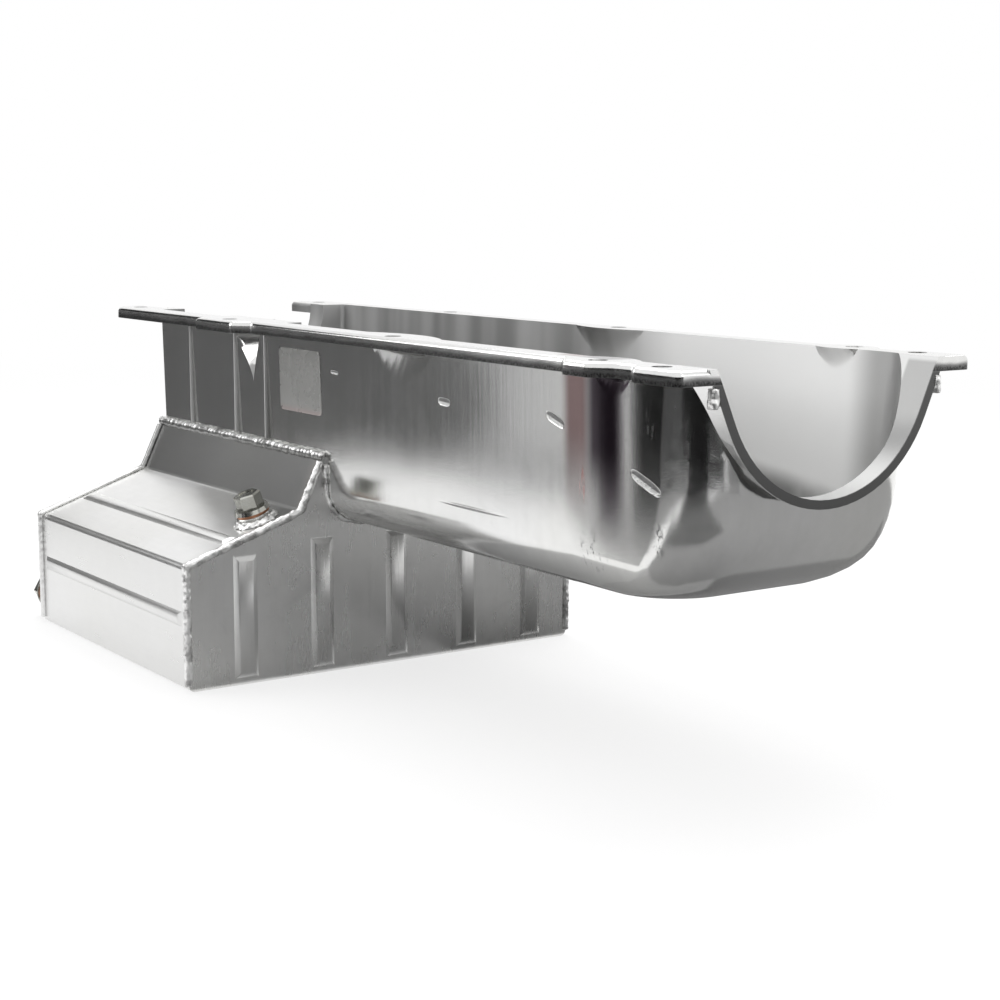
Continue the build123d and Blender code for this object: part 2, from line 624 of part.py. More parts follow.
with BuildPart() as level_plug:
    add(plug(level_place, LEVEL_BUNG_H, LEVEL_FLANGE_R, LEVEL_HEX, LEVEL_SHANK_L))
level_plug.part.label = "level_plug"
export_step(level_plug.part, "parts/level_plug.step")

# Drain plug, its washer, bung and weld
with BuildPart() as drain_bung:
    add(bung(drain_place, DRAIN_BUNG_R, DRAIN_BUNG_H))
drain_bung.part.label = "drain_bung"
export_step(drain_bung.part, "parts/drain_bung.step")

with BuildPart() as drain_bung_weld:
    add(bung_weld(drain_place, DRAIN_BUNG_R, DRAIN_WELD_R))
    add(sump_rear_plate.part, mode=Mode.SUBTRACT)
    add(weld_rear_near_edge.part, mode=Mode.SUBTRACT)
drain_bung_weld.part.label = "drain_bung_weld"
export_step(drain_bung_weld.part, "parts/drain_bung_weld.step")

with BuildPart() as drain_washer:
    add(washer(drain_place, DRAIN_BUNG_H, DRAIN_WASHER_R))
drain_washer.part.label = "drain_washer"
export_step(drain_washer.part, "parts/drain_washer.step")

with BuildPart() as drain_plug:
    add(plug(drain_place, DRAIN_BUNG_H, DRAIN_FLANGE_R, DRAIN_HEX, DRAIN_SHANK_L))
drain_plug.part.label = "drain_plug"
export_step(drain_plug.part, "parts/drain_plug.step")
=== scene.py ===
"""Engine oil pan: the CAD nodes, dressed and lit as in the photo.

Metres, in the model's frame: +X to the pan's front, +Y to its far side, +Z up. The origin is the
centre of the four outer side bolts on the gasket face, so the whole pan lies below z = 0.
"""

import math

import bmesh
import bpy
from mathutils import Matrix, Vector, noise


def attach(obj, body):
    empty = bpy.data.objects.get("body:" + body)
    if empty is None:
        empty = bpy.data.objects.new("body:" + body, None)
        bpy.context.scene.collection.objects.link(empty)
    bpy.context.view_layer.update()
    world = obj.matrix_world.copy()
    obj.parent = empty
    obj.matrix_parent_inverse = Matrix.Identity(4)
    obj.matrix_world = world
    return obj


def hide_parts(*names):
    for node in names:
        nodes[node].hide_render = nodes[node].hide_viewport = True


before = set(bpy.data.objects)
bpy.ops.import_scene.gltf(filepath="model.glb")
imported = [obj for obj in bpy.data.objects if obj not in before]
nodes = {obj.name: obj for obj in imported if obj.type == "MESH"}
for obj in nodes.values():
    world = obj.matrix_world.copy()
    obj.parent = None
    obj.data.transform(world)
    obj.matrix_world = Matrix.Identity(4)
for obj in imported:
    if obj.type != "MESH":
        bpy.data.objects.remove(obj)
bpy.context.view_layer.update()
scene = bpy.context.scene

# Faces of the solids that paint and label go by
BODY_HALF_WIDTH = 0.0665        # near and far walls, at the gasket face
BODY_LEAN = 0.0025              # how far each wall leans in over the body's depth
BODY_DEPTH = 0.107
NEAR_WALL_Y = -0.066            # near wall, a little below the rail
RIM_X = (0.2352, 0.2359)        # front rim of the rail: where the mask starts and is full
RAIL_EDGE_Y = (0.0772, 0.0784)  # long outer edges of the rail, likewise
PAN_BOTTOM_Z = -0.19

# Stage levels
FLOOR_Z = -0.1902
FLOOR_CARD_Z = -0.1897

PALE_STEEL = (1.0, 1.0, 0.995, 1)
DULL_STEEL = (0.60, 0.60, 0.595, 1)
WHITE = (1, 1, 1, 1)


def grey(v):
    return (v, v, v, 1)


# Materials


class Tree:
    """A Principled material, with short names for the nodes that feed it.

    colour, rough and normal hold what the surface has so far; done() plugs them in.
    """

    def __init__(self, name):
        self.mat = bpy.data.materials.new(name)
        self.mat.use_nodes = True
        self.tree = self.mat.node_tree
        self.pos = self.new("ShaderNodeTexCoord").outputs["Object"]
        self.x, self.y, self.z = self.split(self.pos)
        self.colour = self.rough = self.normal = None

    def new(self, kind, **values):
        n = self.tree.nodes.new(kind)
        for key, v in values.items():
            setattr(n, key, v)
        return n

    def link(self, a, b):
        """Feed socket b from a, which is a socket or a plain value."""
        if hasattr(a, "is_linked"):
            self.tree.links.new(a, b)
        else:
            b.default_value = a

    def split(self, v):
        n = self.new("ShaderNodeSeparateXYZ")
        self.link(v, n.inputs[0])
        return n.outputs

    def math(self, op, a, b=0.0, clamp=False):
        n = self.new("ShaderNodeMath", operation=op, use_clamp=clamp)
        self.link(a, n.inputs[0])
        self.link(b, n.inputs[1])
        return n.outputs[0]

    def plus(self, a, b):
        return self.math("ADD", a, b)

    def minus(self, a, b):
        return self.math("SUBTRACT", a, b)

    def times(self, first, *others):
        for other in others:
            first = self.math("MULTIPLY", first, other)
        return first

    def most(self, a, b):
        return self.math("MAXIMUM", a, b)

    def vec(self, op, a, b=(0, 0, 0)):
        n = self.new("ShaderNodeVectorMath", operation=op)
        self.link(a, n.inputs[0])
        self.link(b, n.inputs[1])
        return n.outputs["Value"] if op in ("LENGTH", "DOT_PRODUCT") else n.outputs[0]

    def ramp(self, v, lo, hi, a=0.0, b=1.0):
        """Smooth step from a, where v is lo, to b, where v is hi. lo may be above hi."""
        n = self.new("ShaderNodeMapRange", interpolation_type="SMOOTHSTEP")
        for i, value in enumerate((v, lo, hi, a, b)):
            self.link(value, n.inputs[i])
        return n.outputs[0]

    def noise(self, scale, detail, rough, stretch=(1, 1, 1), shift=(0, 0, 0), warp=0.0):
        n = self.new("ShaderNodeTexNoise")
        v = self.vec("MULTIPLY", self.pos, tuple(scale * s for s in stretch))
        self.link(self.vec("ADD", v, shift), n.inputs["Vector"])
        n.inputs["Scale"].default_value = 1.0
        n.inputs["Detail"].default_value = detail
        n.inputs["Roughness"].default_value = rough
        n.inputs["Distortion"].default_value = warp
        return n.outputs["Fac"]

    def mix(self, share, a, b):
        n = self.new("ShaderNodeMix", data_type="RGBA")
        self.link(share, n.inputs[0])
        self.link(a, n.inputs[6])
        self.link(b, n.inputs[7])
        return n.outputs[2]

    def blob(self, at, size, full=0.0):
        """Ellipsoid mask: 0 at its skin, 1 from the share full of its radius inwards."""
        d = self.vec("DIVIDE", self.vec("SUBTRACT", self.pos, at), size)
        return self.ramp(self.vec("LENGTH", d), 1.0, full)

    def band(self, v, lo, hi, soft):
        return self.times(self.ramp(v, lo - soft, lo + soft), self.ramp(v, hi + soft, hi - soft))

    def emboss(self, height, strength, distance):
        n = self.new("ShaderNodeBump")
        n.inputs["Strength"].default_value = strength
        n.inputs["Distance"].default_value = distance
        self.link(height, n.inputs["Height"])
        if self.normal is not None:
            self.link(self.normal, n.inputs["Normal"])
        self.normal = n.outputs[0]

    def soil(self, mask, colour, rough, amount):
        """Lay another colour and roughness over what is there, where mask says."""
        m = self.times(mask, amount)
        self.colour = self.mix(m, self.colour, colour)
        kept = self.times(self.rough, self.minus(1.0, m))
        self.rough = self.plus(kept, self.times(m, rough))

    def done(self, metal=1.0):
        bsdf = self.tree.nodes["Principled BSDF"]
        self.link(self.colour, bsdf.inputs["Base Color"])
        self.link(self.rough, bsdf.inputs["Roughness"])
        self.link(self.normal, bsdf.inputs["Normal"])
        bsdf.inputs["Metallic"].default_value = metal
        return self.mat


def sheet_metal(k, grain, tone, rough, fine):
    """Satin plated sheet. grain stretches the lines of drawing or rolling, fine is their depth."""
    cloud = k.noise(14.0, 4.0, 0.6, warp=0.6)
    mottle = k.noise(120.0, 3.0, 0.6)
    lines = k.noise(1.0, 3.0, 0.65, stretch=grain)
    speck = k.noise(1900.0, 1.0, 0.5)
    hue = k.noise(9.0, 2.0, 0.5, shift=(2, 6, 4))
    wave = k.noise(12.0, 1.0, 0.4, shift=(5, 2, 8))
    bright = k.plus(tone - 0.09, k.times(cloud, 0.09))
    bright = k.plus(bright, k.times(mottle, 0.05))
    bright = k.plus(bright, k.times(lines, 0.06))
    k.colour = k.mix(k.ramp(bright, 0.6, 1.0), DULL_STEEL, PALE_STEEL)
    k.colour = k.mix(k.ramp(hue, 0.35, 0.75, 0.0, 0.22), k.colour, (0.74, 0.73, 0.66, 1))
    k.rough = k.plus(rough - 0.06, k.times(cloud, 0.10))
    k.rough = k.plus(k.rough, k.times(lines, 0.06))
    k.emboss(wave, 0.30, 0.0012)
    k.emboss(lines, fine, 0.0002)
    k.emboss(speck, 0.08, 0.0002)


# The drawn body. Places on its near wall are (x, z), or (x, y, z) where a blob is laid there.

TURN_START_X = 0.136    # from here on the near wall turns in towards its front corner
TURN_PER_METRE = 5.2
TURN_LIMIT = 0.31

NICKS = (
    # place, half length and half height, slant
    ((0.0385, -0.0300), (0.0056, 0.0020), 0.05),
    ((0.1300, -0.0300), (0.0072, 0.0024), 0.30),
    ((0.1940, -0.0510), (0.0105, 0.0028), 0.36),
    ((-0.0690, -0.0235), (0.0042, 0.0010), 0.05),
)

# Dark reflection bands painted on the near wall towards its front corner, with a red and purple
# heat tint
PAINTED_REFLECTION_BANDS_AND_TINT = (
    # from x, to x, softness, z where it starts and is full, colour, roughness, amount
    (0.1375, 0.1535, 0.004, (-0.080, -0.030), (0.22, 0.12, 0.12, 1), 0.18, 0.85),
    (0.1535, 0.1760, 0.005, (-0.075, -0.038), (0.035, 0.02, 0.035, 1), 0.16, 0.92),
)

# Near-black patches of painted dark reflection on the near wall's front part, broken up by noise
PAINTED_DARK_PATCHES = (
    # place, size, share of the noise left unpainted, amount
    ((0.158, NEAR_WALL_Y, -0.0850), (0.013, 0.02, 0.012), 0.56, 0.85),
    ((0.2015, NEAR_WALL_Y, -0.0740), (0.004, 0.02, 0.011), 0.52, 0.75),
    ((0.179, NEAR_WALL_Y, -0.0650), (0.016, 0.02, 0.017), 0.63, 0.7),
    ((0.198, NEAR_WALL_Y, -0.0300), (0.010, 0.02, 0.024), 0.60, 0.8),
    ((0.213, NEAR_WALL_Y, -0.0270), (0.010, 0.02, 0.022), 0.62, 0.8),
)


def turn_in(k, facing):
    """Lean the near wall's shading normal to +X towards the front corner."""
    facing_y = k.split(facing)[1]
    lean = k.math("MULTIPLY", k.minus(k.x, TURN_START_X), TURN_PER_METRE, clamp=True)
    lean = k.math("MINIMUM", lean, TURN_LIMIT)
    lean = k.times(lean, k.ramp(facing_y, -0.15, -0.6), k.ramp(k.y, -0.045, -0.055))
    to_front = k.new("ShaderNodeCombineXYZ")
    k.link(lean, to_front.inputs[0])
    k.normal = k.vec("NORMALIZE", k.vec("ADD", facing, to_front.outputs[0]))


def inside_painted_light(k, inner):
    """Painted light inside: the inner skin is painted brighter than the outside and made rougher,
    with painted shade towards both ends, streaky at the rear, and a darker front land.
    """
    k.soil(inner, PALE_STEEL, 0.48, 1.0)
    streak = k.noise(1.0, 2.0, 0.5, stretch=(34.0, 3.0, 2.0), shift=(8, 0, 3))
    # painted shade towards the rear, in streaks
    rear = k.times(k.ramp(k.x, 0.060, 0.000), k.ramp(streak, 0.30, 0.66, 0.60, 1.0))
    k.soil(k.times(inner, rear), (0.20, 0.20, 0.198, 1), 0.42, 0.80)
    # painted shade towards the front
    k.soil(k.times(inner, k.ramp(k.x, 0.178, 0.200)), (0.30, 0.30, 0.297, 1), 0.42, 0.70)
    land = k.times(inner, k.ramp(k.x, 0.2185, 0.2205), k.ramp(k.z, -0.001, -0.003))
    k.soil(land, (0.16, 0.16, 0.158, 1), 0.36, 0.6)


def floor_painted_shade(k, inner):
    """Painted shade inside, low on the walls and on the floor: darker, rougher and patchy."""
    past = k.most(k.minus(k.x, 0.08), 0.0)
    depth = k.plus(k.z, k.times(past, past))
    low = k.times(k.ramp(depth, -0.0545, -0.0670), k.ramp(k.x, -0.03, 0.10))
    low = k.times(low, k.ramp(k.z, -0.096, -0.104, 1.0, 0.85))
    patchy = k.ramp(k.noise(24.0, 3.0, 0.6, shift=(1, 9, 2)), 0.25, 0.60, 0.65, 1.0)
    k.soil(k.times(inner, low, patchy), (0.19, 0.19, 0.187, 1), 0.45, 0.85)


def nick_marks(k, near):
    """Ragged nicks, bumped in, with a painted highlight below and painted shade along the top."""
    nicks = top_painted_shade = 0.0
    for (at_x, at_z), (half_length, half_height), slant in NICKS:
        across = k.minus(k.x, at_x)
        drop = k.plus(k.minus(k.z, at_z), k.times(across, slant))
        u = k.math("DIVIDE", across, half_length)
        w = k.math("DIVIDE", drop, half_height)
        edge = k.plus(k.math("POWER", k.math("ABSOLUTE", u), 4.0), k.times(w, w))
        mark = k.times(k.ramp(edge, 1.0, 0.5), near)
        nicks = k.most(nicks, mark)
        top_painted_shade = k.most(top_painted_shade, k.times(mark, k.ramp(w, -0.15, 0.15)))
    chip = k.noise(520.0, 3.0, 0.7, stretch=(0.6, 1, 1.2), shift=(6, 1, 3))
    ragged_nick_and_highlight = k.times(nicks, k.ramp(chip, 0.34, 0.52))
    k.emboss(ragged_nick_and_highlight, 1.0, -0.0003)
    # painted highlight over the nicks, painted shade along their tops
    k.soil(ragged_nick_and_highlight, (0.95, 0.95, 0.94, 1), 0.45, 0.85)
    k.soil(top_painted_shade, grey(0.07), 0.35, 0.75)


def near_wall_marks_and_painted_reflection(k, near):
    """The crease above the floor, then dark reflection bands painted in with a red and purple heat
    tint, red chalk, and near-black patches of painted reflection.
    """
    fold = k.blob((0.062, NEAR_WALL_Y, -0.0795), (0.034, 0.02, 0.0012))
    k.emboss(k.times(fold, -0.00015), 1.0, 1.0)
    streak = k.noise(1.0, 4.0, 0.7, stretch=(420.0, 60.0, 26.0), shift=(3, 1, 7))
    fleck_noise = k.noise(360.0, 5.0, 0.75, stretch=(1, 1, 0.45), shift=(9, 2, 4))
    # dark reflection bands, painted in, with a heat tint
    for lo, hi, soft, (start, full), colour, rough, amount in PAINTED_REFLECTION_BANDS_AND_TINT:
        band = k.times(k.band(k.x, lo, hi, soft), k.ramp(k.z, start, full))
        k.soil(k.times(band, near), colour, rough, amount)
    chalk = k.blob((0.1495, NEAR_WALL_Y, -0.0570), (0.0030, 0.02, 0.0100), 0.4)
    k.soil(k.times(chalk, k.ramp(streak, 0.42, 0.55)), (0.45, 0.10, 0.08, 1), 0.6, 0.75)
    # near-black patches of painted dark reflection
    for at, size, cut, amount in PAINTED_DARK_PATCHES:
        spot = k.times(k.blob(at, size, 0.3), k.ramp(fleck_noise, cut, cut + 0.05))
        k.soil(k.times(spot, near), grey(0.012), 0.35, amount)


def edge_painted_shade(k):
    """Painted shade: the rolled edge is painted darker downwards along an uneven line, speckled
    low down. The front rim is painted dark all round.
    """
    at_rim = k.ramp(k.x, *RIM_X)
    edge = k.most(k.ramp(k.math("ABSOLUTE", k.y), *RAIL_EDGE_Y), at_rim)
    lip = k.times(edge, k.ramp(k.z, -0.0066, -0.0062))
    uneven = k.times(k.minus(k.noise(60.0, 2.0, 0.5), 0.5), 0.003)
    level = k.plus(k.z, uneven)
    speckle = k.noise(1300.0, 4.0, 0.7, stretch=(1, 1, 0.6))
    low = k.times(k.ramp(level, -0.0030, -0.0052), k.ramp(speckle, 0.40, 0.62, 1.0, 0.5))
    k.soil(k.times(lip, k.ramp(level, -0.0018, -0.0040)), grey(0.16), 0.34, 0.75)
    k.soil(k.times(lip, low), grey(0.025), 0.38, 0.92)
    k.soil(k.times(at_rim, k.ramp(k.z, -0.0050, -0.0070)), grey(0.05), 0.36, 0.9)


def drawn_steel():
    k = Tree("steel_drawn")
    facing = k.new("ShaderNodeNewGeometry").outputs["Normal"]
    turn_in(k, facing)
    sheet_metal(k, (260.0, 260.0, 9.0), 0.78, 0.12, 0.12)
    from_middle = k.vec("SUBTRACT", k.pos, (-0.03, 0.0, -0.03))
    inner = k.ramp(k.vec("DOT_PRODUCT", facing, from_middle), 0.0, -0.01)
    near = k.times(k.band(k.y, -0.0715, -0.0585, 0.0015), k.minus(1.0, inner))
    inside_painted_light(k, inner)
    nick_marks(k, near)
    near_wall_marks_and_painted_reflection(k, near)
    edge_painted_shade(k)
    floor_painted_shade(k, inner)
    return k.done()


def sump_steel():
    """The fabricated sump's sheet, with a smudged blob of painted shade, painted shade on the
    slope by the plug and a painted dark reflection on the riser. The riser is the part between the
    lap weld and the slope.
    """
    k = Tree("steel_sump")
    sheet_metal(k, (30.0, 300.0, 300.0), 0.82, 0.27, 0.20)
    fleck_noise = k.noise(420.0, 5.0, 0.75, stretch=(0.6, 1, 1), shift=(1, 5, 2))
    smudge = k.noise(28.0, 4.0, 0.65, shift=(4, 4, 1), warp=0.8)
    specks = k.blob((-0.170, -0.127, -0.115), (0.050, 0.013, 0.012), 0.5)
    k.soil(k.times(specks, k.ramp(fleck_noise, 0.66, 0.70)), grey(0.12), 0.5, 0.8)
    # a smudged blob of painted shade
    painted_shade_blob = k.blob((-0.094, -0.073, -0.089), (0.018, 0.014, 0.014))
    k.soil(k.times(painted_shade_blob, k.ramp(smudge, 0.30, 0.60)), (0.07, 0.07, 0.075, 1), 0.5, 0.8)
    near_side = k.ramp(k.y, -0.1465, -0.1478)
    k.soil(near_side, (0.68, 0.68, 0.675, 1), 0.27, 0.5)
    # painted dark reflection on the riser, stronger towards the front
    riser = k.times(k.ramp(k.z, -0.0995, -0.0975), k.ramp(k.y, -0.030, -0.050))
    riser = k.times(riser, k.ramp(k.x, -0.20, -0.09, 0.72, 0.95))
    k.soil(riser, (0.18, 0.18, 0.178, 1), 0.30, 1.0)
    # painted shade on the slope by the plug
    painted_shade_by_plug = k.times(k.ramp(k.x, -0.150, -0.095), k.ramp(k.y, -0.118, -0.084))
    painted_shade_by_plug = k.times(painted_shade_by_plug, k.ramp(k.z, -0.0975, -0.0995))
    k.soil(painted_shade_by_plug, (0.20, 0.20, 0.198, 1), 0.32, 0.75)
    weld_heat = k.times(k.ramp(k.x, -0.096, -0.0835), k.ramp(k.z, -0.128, -0.112))
    k.soil(k.times(weld_heat, smudge), (0.35, 0.33, 0.31, 1), 0.4, 0.6)
    return k.done()


def plate_steel():
    k = Tree("steel_plate")
    sheet_metal(k, (260.0, 260.0, 26.0), 0.76, 0.26, 0.05)
    smudge = k.noise(30.0, 4.0, 0.65, shift=(2, 7, 1), warp=0.8)
    k.soil(k.ramp(smudge, 0.5, 0.8), grey(0.5), 0.34, 0.35)
    return k.done()


def weld_metal():
    """The seam on the near wall is dull along its middle and bright at both toes."""
    k = Tree("weld")
    lump = k.noise(520.0, 4.0, 0.6)
    tint = k.noise(130.0, 3.0, 0.6, shift=(3, 3, 3))
    k.colour = k.mix(k.ramp(tint, 0.34, 0.56), (0.52, 0.515, 0.51, 1), (0.93, 0.93, 0.92, 1))
    k.colour = k.mix(k.ramp(lump, 0.66, 0.78), k.colour, (0.08, 0.075, 0.07, 1))
    middle = k.times(k.band(k.z, -0.0722, -0.0694, 0.0006), k.ramp(k.y, -0.050, -0.060))
    k.colour = k.mix(k.times(middle, 0.8), k.colour, (0.22, 0.22, 0.215, 1))
    k.rough = k.plus(0.20, k.times(tint, 0.25))
    k.emboss(lump, 0.3, 0.0005)
    return k.done()


def zinc_plate():
    k = Tree("zinc")
    cloud = k.noise(150.0, 3.0, 0.6)
    fine = k.noise(900.0, 2.0, 0.6)
    k.colour = k.mix(cloud, (0.46, 0.45, 0.40, 1), (0.60, 0.61, 0.58, 1))
    k.rough = k.plus(0.10, k.times(fine, 0.16))
    k.emboss(fine, 0.15, 0.0002)
    return k.done()


def dull_copper():
    k = Tree("copper")
    cloud = k.noise(260.0, 3.0, 0.6)
    k.colour = k.mix(cloud, (0.50, 0.24, 0.13, 1), (0.30, 0.15, 0.10, 1))
    k.rough = k.plus(0.25, k.times(cloud, 0.2))
    k.emboss(cloud, 0.2, 0.0002)
    return k.done()


def turned_steel():
    k = Tree("turned_steel")
    rings = k.noise(1.0, 2.0, 0.5, stretch=(300.0, 300.0, 2400.0))
    k.colour = k.mix(rings, (0.50, 0.50, 0.49, 1), (0.72, 0.72, 0.70, 1))
    k.rough = k.plus(0.18, k.times(rings, 0.15))
    k.emboss(rings, 0.2, 0.0002)
    return k.done()


def label_film():
    """Grey film with a faint red tinge along its lower edge."""
    k = Tree("label_film")
    cloud = k.noise(70.0, 3.0, 0.6)
    tinge = k.ramp(k.z, -0.044, -0.049)
    k.colour = k.mix(cloud, (0.33, 0.33, 0.32, 1), (0.42, 0.42, 0.41, 1))
    k.colour = k.mix(k.times(tinge, 0.6), k.colour, (0.44, 0.34, 0.33, 1))
    k.rough = k.plus(0.22, k.times(cloud, 0.12))
    k.emboss(cloud, 0.3, 0.0006)
    return k.done(0.55)


sump = sump_steel()
plate = plate_steel()
weld = weld_metal()
turned = turned_steel()
copper = dull_copper()
zinc = zinc_plate()
paint = {
    "pan_body": drawn_steel(),
    "sump_sheet": sump,
    "sump_front_plate": plate,
    "sump_rear_plate": plate,
    "level_bung": turned,
    "drain_bung": turned,
    "level_washer": copper,
    "drain_washer": copper,
    "level_plug": zinc,
    "drain_plug": zinc,
}


def dress(obj, mat):
    obj.data.materials.clear()
    obj.data.materials.append(mat)


def add_piece(name, mesh, mat):
    for p in mesh.polygons:
        p.use_smooth = True
    out = bpy.data.objects.new(name, mesh)
    scene.collection.objects.link(out)
    dress(out, mat)
    return out


for name, obj in nodes.items():
    dress(obj, paint.get(name, weld))

# Curved pieces: the CAD mesh again, in place, with smooth shading. Each face counts at a corner
# by the area of the flat patch it belongs to, so that flat walls stay flat beside their fillets.

SAME_POINT = 2e-6
SHARP_ANGLE = math.radians(28.0)
FLAT_ANGLE = math.radians(0.25)


def flat_patches(bm):
    """The patch number of each face, and the area of each patch."""
    patch = [-1] * len(bm.faces)
    areas = []
    for face in bm.faces:
        if patch[face.index] >= 0:
            continue
        patch[face.index] = len(areas)
        todo, area = [face], 0.0
        while todo:
            f = todo.pop()
            area += f.calc_area()
            for e in f.edges:
                if not e.smooth or e.calc_face_angle(1.0) >= FLAT_ANGLE:
                    continue
                for g in e.link_faces:
                    if patch[g.index] < 0:
                        patch[g.index] = len(areas)
                        todo.append(g)
        areas.append(area)
    return patch, areas


def corner_normals(bm, weights):
    """One normal for each fan of faces that smooth edges join round a point."""
    normals = {}
    for v in bm.verts:
        left = set(v.link_faces)
        while left:
            fan, todo = [], [left.pop()]
            while todo:
                f = todo.pop()
                fan.append(f)
                for e in f.edges:
                    if e.smooth and v in e.verts:
                        for g in e.link_faces:
                            if g in left:
                                left.remove(g)
                                todo.append(g)
            total = Vector()
            for f in fan:
                total += f.normal * weights[f.index]
            total.normalize()
            for f in fan:
                normals[f.index, v.index] = total
    return normals


def smoothed(name):
    mesh = nodes[name].data.copy()
    bm = bmesh.new()
    bm.from_mesh(mesh)
    bmesh.ops.remove_doubles(bm, verts=bm.verts, dist=SAME_POINT)
    bm.faces.ensure_lookup_table()
    for e in bm.edges:
        e.smooth = len(e.link_faces) == 2 and e.calc_face_angle(0.0) < SHARP_ANGLE
    patch, areas = flat_patches(bm)
    normals = corner_normals(bm, [areas[i] for i in patch])
    bm.to_mesh(mesh)
    bm.free()
    out = add_piece(name + "_skin", mesh, paint[name])
    mesh.normals_split_custom_set([
        normals[f.index, mesh.loops[i].vertex_index]
        for f in mesh.polygons for i in f.loop_indices])
    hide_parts(name)
    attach(out, "root")


for name in paint:
    smoothed(name)

# Weld beads: the CAD bead remeshed, rippled and lumped in place

BEAD_VOXEL = 0.0008
BEAD_SEED_STEP = 1.7
BEAD_WANDER = 0.35              # how far the ripples stray, in pitches
WANDER_SCALE, COARSE_SCALE, FINE_SCALE = 160, 330, 800
MEAN_RIPPLE = 0.6
BEADS = (
    # node, direction of the seam, pitch and height of the ripples, height of the lumps
    ("weld_near_lap", (1, 0, 0), 0.0034, 0.00022, 0.00045),
    ("weld_far_lap", (1, 0, 0), 0.0034, 0.00022, 0.00045),
    ("weld_front_near_edge", (0, 0.6, -0.8), 0.0032, 0.00020, 0.00040),
    ("weld_front_far_edge", (0, 0.6, 0.8), 0.0032, 0.00020, 0.00040),
    ("weld_rear_near_edge", (0, 0.6, -0.8), 0.0032, 0.00006, 0.00012),
    ("weld_rear_far_edge", (0, 0.6, 0.8), 0.0032, 0.00020, 0.00040),
    ("weld_front_body", (0, 1, 0), 0.0032, 0.00018, 0.00040),
    ("weld_rear_body", (0, 1, 0), 0.0032, 0.00018, 0.00040),
    ("level_bung_weld", (1, 0, 0), 0.0040, 0.00030, 0.00080),
    ("drain_bung_weld", (0, 1, 0), 0.0040, 0.00025, 0.00060),
    ("arc_end_dabs", (0, 0, 1), 0.0030, 0.00020, 0.00050),
)


def remeshed(name):
    work = bpy.data.objects.new("work", nodes[name].data.copy())
    scene.collection.objects.link(work)
    mod = work.modifiers.new("remesh", "REMESH")
    mod.mode = "VOXEL"
    mod.voxel_size = BEAD_VOXEL
    depsgraph = bpy.context.evaluated_depsgraph_get()
    mesh = bpy.data.meshes.new_from_object(work.evaluated_get(depsgraph))
    bpy.data.objects.remove(work)
    return mesh


def lumpy(name, along, pitch, ripple, lump, seed):
    mesh = remeshed(name)
    seam = Vector(along)
    shift = Vector((seed, 2 * seed, 3 * seed))
    normals = [v.normal.copy() for v in mesh.vertices]
    for v, n in zip(mesh.vertices, normals):
        p = v.co
        s = p.dot(seam) / pitch + BEAD_WANDER * noise.noise(p * WANDER_SCALE + shift)
        wave = abs(math.sin(math.pi * s)) - MEAN_RIPPLE
        rough = noise.noise(p * COARSE_SCALE + shift) + 0.5 * noise.noise(p * FINE_SCALE + shift)
        v.co = p + n * (ripple * wave + lump * rough)
    # the rear near edge shows hardly any bead in the photo, so it has the sheet's paint
    out = add_piece(name + "_bead", mesh, sump if name == "weld_rear_near_edge" else weld)
    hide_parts(name)
    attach(out, "root")


for i, (name, along, pitch, ripple, lump) in enumerate(BEADS):
    lumpy(name, along, pitch, ripple, lump, BEAD_SEED_STEP * i)

# Blank label film on the near wall, a hair proud of it and a little lifted at one corner

LABEL_X, LABEL_Z = -0.108, -0.031
LABEL_HALF_WIDTH, LABEL_HALF_HEIGHT = 0.0235, 0.0175
LABEL_CORNER_R = 0.003
LABEL_CORNER_STEPS = 6
LABEL_STEP_DEGREES = 18
LIFT_FROM = 1.3                 # share of width plus share of height where the corner lifts
LABEL_LIFT = 0.0006
LABEL_RINGS = (
    # share of the outline, height above the wall
    (1.0, 0.00002),
    (1.0, 0.00012),
    (0.97, 0.00016),
    (0.5, 0.00016),
    (0.1, 0.00016),
)


def label():
    bm = bmesh.new()
    straight_w = LABEL_HALF_WIDTH - LABEL_CORNER_R
    straight_h = LABEL_HALF_HEIGHT - LABEL_CORNER_R
    outline = []
    for side_x, side_z, start in ((1, 1, 0), (-1, 1, 90), (-1, -1, 180), (1, -1, 270)):
        for i in range(LABEL_CORNER_STEPS):
            a = math.radians(start + LABEL_STEP_DEGREES * i)
            outline.append((side_x * straight_w + LABEL_CORNER_R * math.cos(a),
                            side_z * straight_h + LABEL_CORNER_R * math.sin(a)))

    def put(u, w, out):
        z = LABEL_Z + w
        wall = -(BODY_HALF_WIDTH - BODY_LEAN * -z / BODY_DEPTH)
        past_corner = max(0.0, (u / LABEL_HALF_WIDTH) + (w / LABEL_HALF_HEIGHT) - LIFT_FROM)
        return bm.verts.new((LABEL_X + u, wall - out - LABEL_LIFT * past_corner ** 2, z))

    rings = [[put(u * share, w * share, out) for u, w in outline] for share, out in LABEL_RINGS]
    for a, b in zip(rings, rings[1:]):
        for i in range(len(outline)):
            j = (i + 1) % len(outline)
            bm.faces.new((a[i], a[j], b[j], b[i]))
    bm.faces.new(rings[-1])
    bm.faces.new(rings[0][::-1])
    bmesh.ops.recalc_face_normals(bm, faces=bm.faces)
    mesh = bpy.data.meshes.new("label")
    bm.to_mesh(mesh)
    bm.free()
    out = add_piece("blank_label", mesh, label_film())
    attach(out, "root")


label()

# Stage


